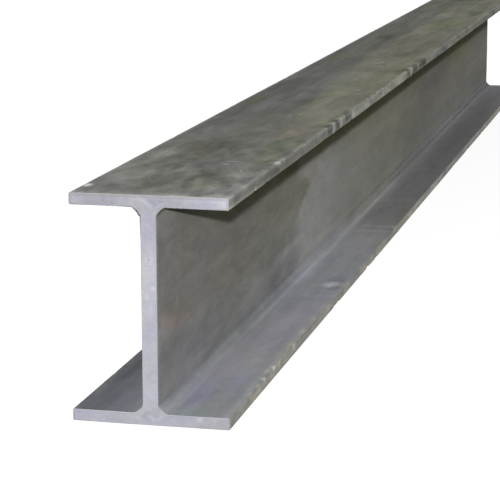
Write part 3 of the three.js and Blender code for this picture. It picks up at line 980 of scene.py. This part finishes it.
# scuffs: short pale strokes across and along
scuff_a = N.noise(N.scaled(38.0, 330.0, 38.0, rot=(0.0, 0.0, 0.18), loc=(1.3, 5.1, 0.4)), 1.0, 2.0, 0.5)
scuff_gate = N.noise(N.scaled(9.0, 7.0, 9.0, loc=(7.7, 1.2, 3.3)), 1.0, 2.0, 0.5)
scuff = N.math("MULTIPLY", N.math("MULTIPLY", N.span(scuff_a, 0.70, 0.76), N.span(scuff_gate, 0.50, 0.62)), A_)
scuff_b = N.noise(N.scaled(420.0, 16.0, 420.0, rot=(0.02, 0.0, -0.03), loc=(4.3, 2.1, 8.4)), 1.0, 2.0, 0.5)
scuff2 = N.math("MULTIPLY", N.span(scuff_b, 0.71, 0.77), N.span(scuff_gate, 0.56, 0.44))
marks = N.math("MAXIMUM", scuff, scuff2)
colour = N.mix(N.math("MULTIPLY", marks, 0.30), colour, rgb(176, 176, 178))
# bright specks
spk = N.voronoi(N.scaled(1.0, 0.55, 1.0), 150.0)
spk_gate = N.noise(N.co, 21.0, 3.0, 0.6)
speck = N.math("MULTIPLY", N.span(spk, 0.16, 0.07), N.span(spk_gate, 0.60, 0.66))
colour = N.mix(N.math("MULTIPLY", speck, 0.5), colour, rgb(190, 190, 190))
# dark pits in the scale
pit = N.voronoi(N.co, 330.0)
pit_gate = N.noise(N.scaled(1, 1, 1, loc=(5, 2, 9)), 60.0, 3.0, 0.6)
pits = N.math("MULTIPLY", N.span(pit, 0.24, 0.10), N.span(pit_gate, 0.54, 0.62))
colour = N.mix(N.math("MULTIPLY", pits, 0.45), colour, rgb(52, 51, 46))

# rust
rust_n = N.noise(N.scaled(1.0, 0.5, 1.0, loc=(2, 9, 4)), 95.0, 8.0, 0.7, 0.6)
rust_m = N.span(N.math("ADD", N.math("MULTIPLY", N.attr("rust"), 0.62), N.math("MULTIPLY", rust_n, 0.62)), 0.48, 0.92)
rust_c = N.mix(N.noise(N.co, 190.0, 5.0, 0.6), rgb(96, 70, 54), rgb(150, 118, 90))
colour = N.mix(N.math("MULTIPLY", rust_m, 0.60), colour, rust_c)

# worn arrises
wear_n = N.noise(N.scaled(1.0, 0.30, 1.0), 70.0, 6.0, 0.66)
wear_m = N.math("MULTIPLY", N.attr("wear"), N.span(wear_n, 0.36, 0.66, 0.25, 1.0))
colour = N.mix(N.math("MULTIPLY", wear_m, 0.50), colour, rgb(158, 158, 156))
# the dark torn lip that the saw left on one root
lip_m = N.span(N.attr("lipdark"), 0.02, 0.16)
colour = N.mix(N.math("MULTIPLY", lip_m, 0.95), colour, rgb(50, 50, 54))
N.set(N.bsdf.inputs["Base Color"], colour)

rough = N.math("ADD", N.span(mottle, 0.30, 0.70, 0.66, 0.52), N.math("MULTIPLY", N.math("SUBTRACT", grain, 0.5), 0.18))
rough = N.math("SUBTRACT", rough, N.math("MULTIPLY", flake, 0.10))
rough = N.math("SUBTRACT", rough, N.math("MULTIPLY", wear_m, 0.10))
rough = N.math("ADD", rough, N.math("MULTIPLY", rust_m, 0.25), clamp=True)
N.set(N.bsdf.inputs["Roughness"], rough)
N.bsdf.inputs["Metallic"].default_value = 0.30
N.bsdf.inputs["IOR"].default_value = 1.45
height = N.math("ADD", N.math("MULTIPLY", grain, 0.45), N.math("MULTIPLY", mottle, 0.55))
height = N.math("SUBTRACT", height, N.math("MULTIPLY", flake, 0.30))
height = N.math("SUBTRACT", height, N.math("MULTIPLY", pits, 0.6))
height = N.math("ADD", height, N.math("MULTIPLY", rust_m, 0.25))
height = N.math("SUBTRACT", height, N.math("MULTIPLY", marks, 0.15))
N.set(N.bsdf.inputs["Normal"], N.bump(height, 0.5, 0.0005))
mill = N.mat

# ---------------------------------------------------------------- sawn steel
S = Net("sawn_steel")
cut = S.scaled(1, 1, 1, rot=(0.0, 0.35, 0.0))
saw = S.node("ShaderNodeTexWave", wave_type="BANDS", bands_direction="Z", wave_profile="SIN")
S.set(saw.inputs["Vector"], cut)
saw.inputs["Scale"].default_value = 190.0
saw.inputs["Distortion"].default_value = 2.2
saw.inputs["Detail"].default_value = 3.0
saw.inputs["Detail Scale"].default_value = 1.6
sawf = saw.outputs["Fac"]
stretch = S.scaled(18.0, 18.0, 420.0, rot=(0.0, 0.35, 0.0))
lines = S.noise(stretch, 1.0, 4.0, 0.6)
cloud_s = S.noise(S.co, 30.0, 6.0, 0.6, 0.5)
fine_s = S.noise(S.co, 240.0, 5.0, 0.65)
tone_s = S.math("ADD", 1.0, S.around(cloud_s, 0.26))
tone_s = S.math("ADD", tone_s, S.around(fine_s, 0.30))
tone_s = S.math("ADD", tone_s, S.around(lines, 0.14))
tone_s = S.math("ADD", tone_s, S.around(sawf, 0.03))
hue_s = S.noise(S.scaled(1, 1, 1, loc=(4, 4, 4)), 26.0, 3.0, 0.5)
body = S.mix(1.0, S.attr("tint", "Color"), S.mix(S.span(hue_s, 0.35, 0.65), (0.985, 0.985, 1.03, 1.0), (1.02, 1.02, 0.975, 1.0)), "MULTIPLY")
colour_s = S.mix(1.0, body, S.grey(tone_s), "MULTIPLY")
dent = S.voronoi(S.co, 120.0)
dent_gate = S.noise(S.scaled(1, 1, 1, loc=(1, 8, 3)), 30.0, 3.0, 0.6)
dents = S.math("MULTIPLY", S.span(dent, 0.20, 0.08), S.span(dent_gate, 0.56, 0.64))
colour_s = S.mix(S.math("MULTIPLY", dents, 0.35), colour_s, rgb(120, 120, 126))
# the bright line along each sawn end's edge: bare edge steel with a painted highlight
edge_n = S.noise(S.co, 300.0, 4.0, 0.62)
edge_d = S.math("ADD", S.attr("rimd"), S.around(edge_n, 1.1))
edge_m = S.span(edge_d, 1.55, 0.55)
colour_s = S.mix(S.math("MULTIPLY", edge_m, 0.50), colour_s, rgb(206, 206, 208, 0.60))
S.set(S.bsdf.inputs["Base Color"], colour_s)
S.set(S.bsdf.inputs["Roughness"], S.span(cloud_s, 0.3, 0.7, 0.72, 0.62))
S.bsdf.inputs["Metallic"].default_value = 0.70
h_s = S.math("ADD", S.math("MULTIPLY", lines, 0.6), S.math("ADD", S.math("MULTIPLY", fine_s, 0.4), S.math("MULTIPLY", sawf, 0.12)))
h_s = S.math("SUBTRACT", h_s, S.math("MULTIPLY", dents, 0.8))
S.set(S.bsdf.inputs["Normal"], S.bump(h_s, 0.28, 0.0004))
sawn = S.mat

mesh.materials.append(mill)
mesh.materials.append(sawn)
slot = np.zeros(len(face_list), np.int32)
slot[n_side:] = 1
k_ = np.arange(NS)
keep_dark = (SR[k_] == 9) | (SR[(k_ + 1) % NS] == 9)
for r in (0, 1, 2):
    slot[r * NS:(r + 1) * NS] = np.where(keep_dark, 0, 1)
for r in (NR - 4, NR - 3, NR - 2):
    slot[r * NS:(r + 1) * NS] = 1
mesh.polygons.foreach_set("material_index", slot)
mesh.update()

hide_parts("i_beam")
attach(beam, "root")

# ---------------------------------------------------------------- floor
fm = bpy.data.meshes.new("floor")
steps = 24
edge = 30.0
t = np.linspace(-1, 1, steps + 1)
t = np.sign(t) * np.abs(t) ** 2.2 * edge
fv = [(float(a), float(b), -0.0002) for b in t for a in t]
ff = [(r * (steps + 1) + c, r * (steps + 1) + c + 1, (r + 1) * (steps + 1) + c + 1, (r + 1) * (steps + 1) + c) for r in range(steps) for c in range(steps)]
fm.from_pydata(fv, [], ff)
floor = bpy.data.objects.new("floor", fm)
scene.collection.objects.link(floor)
F = Net("pale_floor")
fn = F.noise(F.co, 1.3, 3.0, 0.5)
F.set(F.bsdf.inputs["Base Color"], F.mix(fn, (0.22, 0.22, 0.22, 1), (0.24, 0.24, 0.24, 1)))
F.bsdf.inputs["Emission Color"].default_value = (1.0, 1.0, 1.0, 1.0)
F.bsdf.inputs["Emission Strength"].default_value = 0.79
F.bsdf.inputs["Roughness"].default_value = 0.9
F.bsdf.inputs["Specular IOR Level"].default_value = 0.1
fm.materials.append(F.mat)
floor.visible_diffuse = False
floor.visible_glossy = False

# ---------------------------------------------------------------- light: a soft room, dim from below, and one small lamp just over the lens
world = bpy.data.worlds.new("studio")
world.use_nodes = True
wn = world.node_tree
wn.nodes.clear()
wo = wn.nodes.new("ShaderNodeOutputWorld")
bg = wn.nodes.new("ShaderNodeBackground")
wt = wn.nodes.new("ShaderNodeTexCoord")
ws = wn.nodes.new("ShaderNodeSeparateXYZ")
wn.links.new(wt.outputs["Generated"], ws.inputs[0])
wr = wn.nodes.new("ShaderNodeMapRange")
wr.interpolation_type = "SMOOTHSTEP"
wr.inputs["From Min"].default_value = -0.06
wr.inputs["From Max"].default_value = 0.10
wr.inputs["To Min"].default_value = WORLD_LOW
wr.inputs["To Max"].default_value = WORLD_UP
wn.links.new(ws.outputs["Z"], wr.inputs["Value"])
wc = wn.nodes.new("ShaderNodeMapRange")
wc.interpolation_type = "SMOOTHSTEP"
wc.inputs["From Min"].default_value = -0.06
wc.inputs["From Max"].default_value = 0.10
wn.links.new(ws.outputs["Z"], wc.inputs["Value"])
wm = wn.nodes.new("ShaderNodeMix")
wm.data_type = "RGBA"
wm.inputs[6].default_value = (1.0, 0.96, 0.66, 1.0)
wm.inputs[7].default_value = (1.0, 1.0, 1.0, 1.0)
wn.links.new(wc.outputs["Result"], wm.inputs[0])
wn.links.new(wm.outputs[2], bg.inputs["Color"])
wn.links.new(wr.outputs["Result"], bg.inputs["Strength"])
wn.links.new(bg.outputs[0], wo.inputs["Surface"])
scene.world = world

lamp_data = bpy.data.lights.new("key", "POINT")
lamp_data.shadow_soft_size = 0.020
lamp_data.energy = 1.0
lamp_data.use_nodes = True
ln = lamp_data.node_tree
em = next(n for n in ln.nodes if n.type == "EMISSION")
fall = ln.nodes.new("ShaderNodeLightFalloff")
fall.inputs["Strength"].default_value = KEY
ln.links.new(fall.outputs["Constant"], em.inputs["Strength"])
lamp = bpy.data.objects.new("key", lamp_data)
lamp.location = EYE - down * 0.0875 - right * 0.015
lamp.visible_glossy = False     # the dull finish lights up under it but doesn't mirror it
scene.collection.objects.link(lamp)

back_data = bpy.data.lights.new("fill", "SUN")
back_data.energy = FILL
back_data.angle = math.radians(50)
back = bpy.data.objects.new("fill", back_data)
back.rotation_euler = Vector((-0.75, 0.38, 0.55)).to_track_quat("Z", "Y").to_euler()
back.visible_glossy = False
scene.collection.objects.link(back)

scene.view_settings.view_transform = "Standard"
scene.view_settings.look = "None"
scene.view_settings.exposure = 0.0
scene.view_settings.gamma = 1.0

tris = sum(len(f) - 2 for f in face_list)
print("i_beam_rolled triangles", tris)
